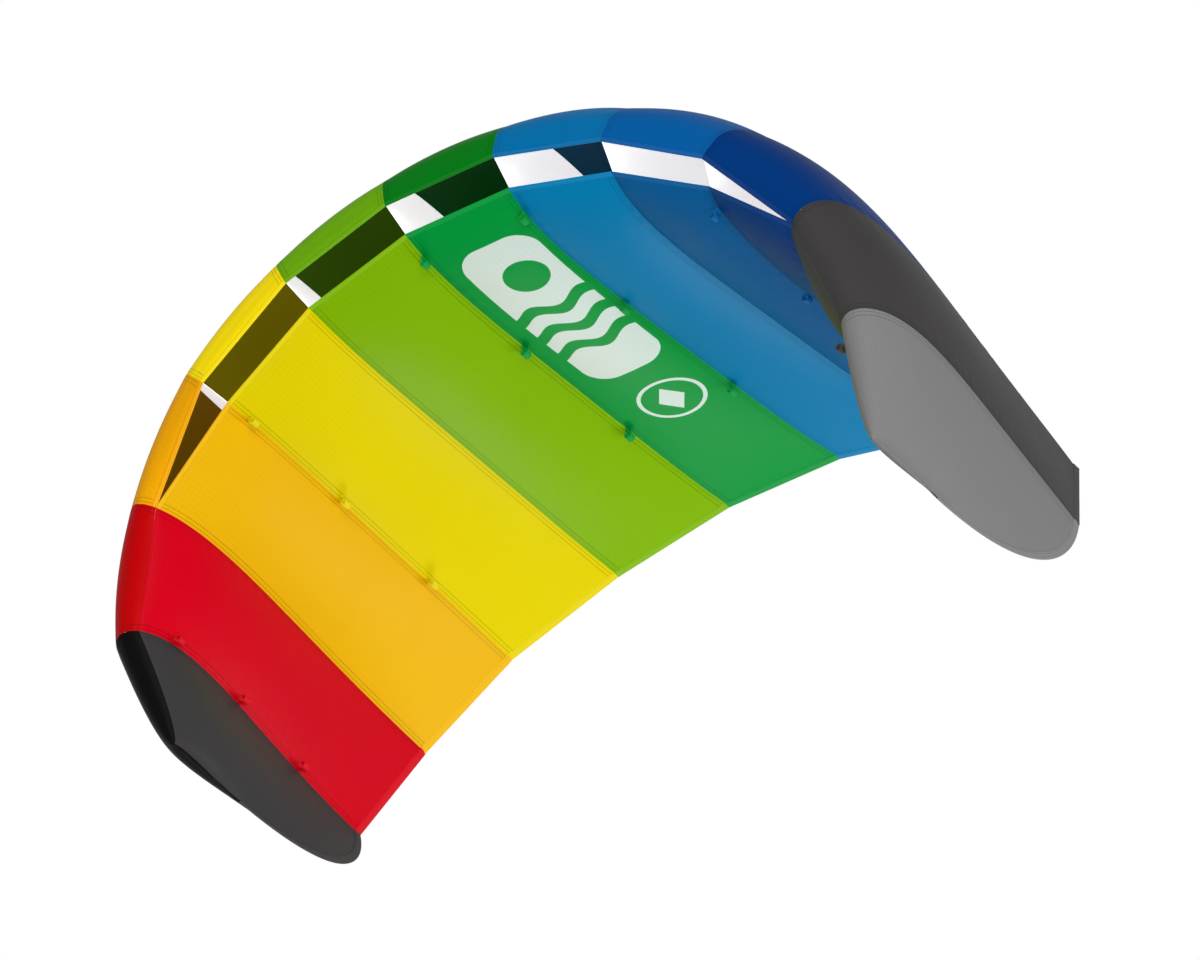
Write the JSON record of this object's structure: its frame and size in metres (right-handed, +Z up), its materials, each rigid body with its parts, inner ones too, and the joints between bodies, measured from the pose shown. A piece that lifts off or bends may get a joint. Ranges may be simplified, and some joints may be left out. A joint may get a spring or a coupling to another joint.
{
  "type": "parafoil kite",
  "caption": "Arched ram-air foil kite of sewn fabric cells in rainbow order with front air inlets, rounded black and grey tips and bridle loops, hinged at its seams to lay flat.",
  "frame": {"origin": "midway between the two centre loops of the front bridle row", "axes": "+X along the span towards the blue and charcoal side, +Y from the leading edge to the trailing edge, +Z up, the arch opening downwards"},
  "size_m": [0.8572, 0.5712, 0.4789],
  "materials": {
    "red_ripstop": "satin ripstop weave, lightly coated",
    "orange_ripstop": "satin ripstop weave, lightly coated",
    "yellow_ripstop": "satin ripstop weave, lightly coated",
    "lime_ripstop": "satin ripstop weave, lightly coated",
    "green_ripstop": "satin ripstop weave, lightly coated",
    "light_blue_ripstop": "satin ripstop weave, lightly coated",
    "mid_blue_ripstop": "satin ripstop weave, lightly coated",
    "dark_blue_ripstop": "satin ripstop weave, lightly coated",
    "charcoal_ripstop": "satin ripstop weave, lightly coated",
    "tip_grey_ripstop": "satin ripstop weave, lightly coated",
    "tip_black_ripstop": "satin ripstop weave, lightly coated",
    "white_ripstop": "satin ripstop weave"
  },
  "bodies": {
    "left_tip_cell": {"left_tip_upper_skin": "tip_black_ripstop", "left_tip_lower_skin": "tip_black_ripstop", "left_tip_trailing_hem": "tip_black_ripstop", "left_tip_side_seam": "tip_black_ripstop"},
    "red_cell": {"red_upper_skin": "red_ripstop", "red_lower_skin": "red_ripstop", "red_trailing_hem": "red_ripstop", "rib_left_5": "white_ripstop", "bridle_loops_left_5": "red_ripstop"},
    "orange_cell": {"orange_upper_skin": "orange_ripstop", "orange_lower_skin": "orange_ripstop", "orange_trailing_hem": "orange_ripstop", "orange_inlet_binding": "orange_ripstop", "rib_left_4": "white_ripstop"},
    "yellow_cell": {"yellow_upper_skin": "yellow_ripstop", "yellow_lower_skin": "yellow_ripstop", "yellow_trailing_hem": "yellow_ripstop", "yellow_inlet_binding": "yellow_ripstop", "rib_left_3": "white_ripstop", "bridle_loops_left_3": "yellow_ripstop"},
    "lime_cell": {"lime_upper_skin": "lime_ripstop", "lime_lower_skin": "lime_ripstop", "lime_trailing_hem": "lime_ripstop", "lime_inlet_binding": "lime_ripstop", "rib_left_2": "white_ripstop"},
    "green_cell": {"green_upper_skin": "green_ripstop", "green_lower_skin": "green_ripstop", "green_trailing_hem": "green_ripstop", "green_inlet_binding": "green_ripstop", "rib_left_1": "white_ripstop", "bridle_loops_left_1": "green_ripstop", "rib_right_1": "white_ripstop", "bridle_loops_right_1": "green_ripstop"},
    "light_blue_cell": {"light_blue_upper_skin": "light_blue_ripstop", "light_blue_lower_skin": "light_blue_ripstop", "light_blue_trailing_hem": "light_blue_ripstop", "light_blue_inlet_binding": "light_blue_ripstop", "rib_right_2": "white_ripstop"},
    "mid_blue_cell": {"mid_blue_upper_skin": "mid_blue_ripstop", "mid_blue_lower_skin": "mid_blue_ripstop", "mid_blue_trailing_hem": "mid_blue_ripstop", "mid_blue_inlet_binding": "mid_blue_ripstop", "rib_right_3": "white_ripstop", "bridle_loops_right_3": "mid_blue_ripstop"},
    "dark_blue_cell": {"dark_blue_upper_skin": "dark_blue_ripstop", "dark_blue_lower_skin": "dark_blue_ripstop", "dark_blue_trailing_hem": "dark_blue_ripstop", "dark_blue_inlet_binding": "dark_blue_ripstop", "rib_right_4": "white_ripstop"},
    "charcoal_cell": {"charcoal_upper_skin": "charcoal_ripstop", "charcoal_lower_skin": "charcoal_ripstop", "charcoal_trailing_hem": "charcoal_ripstop", "rib_right_5": "white_ripstop", "bridle_loops_right_5": "charcoal_ripstop"},
    "right_tip_cell": {"right_tip_upper_skin": "tip_grey_ripstop", "right_tip_lower_skin": "tip_grey_ripstop", "right_tip_trailing_hem": "tip_grey_ripstop", "right_tip_side_seam": "tip_grey_ripstop"}
  },
  "joints": [
    {"name": "lime_seam_hinge", "type": "hinge", "parent": "green_cell", "child": "lime_cell", "pos_m": [-0.06911, 0.2256, 0.10048], "axis": [0, 1, 0], "range_deg": [0, 16.5]},
    {"name": "yellow_seam_hinge", "type": "hinge", "parent": "lime_cell", "child": "yellow_cell", "pos_m": [-0.20072, 0.2221, 0.06023], "axis": [0, 1, 0], "range_deg": [0, 15.5]},
    {"name": "orange_seam_hinge", "type": "hinge", "parent": "yellow_cell", "child": "orange_cell", "pos_m": [-0.31627, 0.2156, -0.01593], "axis": [0, 1, 0], "range_deg": [0, 20]},
    {"name": "red_seam_hinge", "type": "hinge", "parent": "orange_cell", "child": "red_cell", "pos_m": [-0.39811, 0.2101, -0.12901], "axis": [0, 1, 0], "range_deg": [0, 22]},
    {"name": "left_tip_seam_hinge", "type": "hinge", "parent": "red_cell", "child": "left_tip_cell", "pos_m": [-0.42934, 0.1906, -0.26426], "axis": [0, 1, 0], "range_deg": [0, 24.5]},
    {"name": "light_blue_seam_hinge", "type": "hinge", "parent": "green_cell", "child": "light_blue_cell", "pos_m": [0.06911, 0.2256, 0.10048], "axis": [0, -1, 0], "range_deg": [0, 16.5]},
    {"name": "mid_blue_seam_hinge", "type": "hinge", "parent": "light_blue_cell", "child": "mid_blue_cell", "pos_m": [0.20072, 0.2221, 0.06023], "axis": [0, -1, 0], "range_deg": [0, 15.5]},
    {"name": "dark_blue_seam_hinge", "type": "hinge", "parent": "mid_blue_cell", "child": "dark_blue_cell", "pos_m": [0.31627, 0.2156, -0.01593], "axis": [0, -1, 0], "range_deg": [0, 20]},
    {"name": "charcoal_seam_hinge", "type": "hinge", "parent": "dark_blue_cell", "child": "charcoal_cell", "pos_m": [0.39811, 0.2101, -0.12901], "axis": [0, -1, 0], "range_deg": [0, 22]},
    {"name": "right_tip_seam_hinge", "type": "hinge", "parent": "charcoal_cell", "child": "right_tip_cell", "pos_m": [0.42934, 0.1906, -0.26426], "axis": [0, -1, 0], "range_deg": [0, 24.5]}
  ]
}
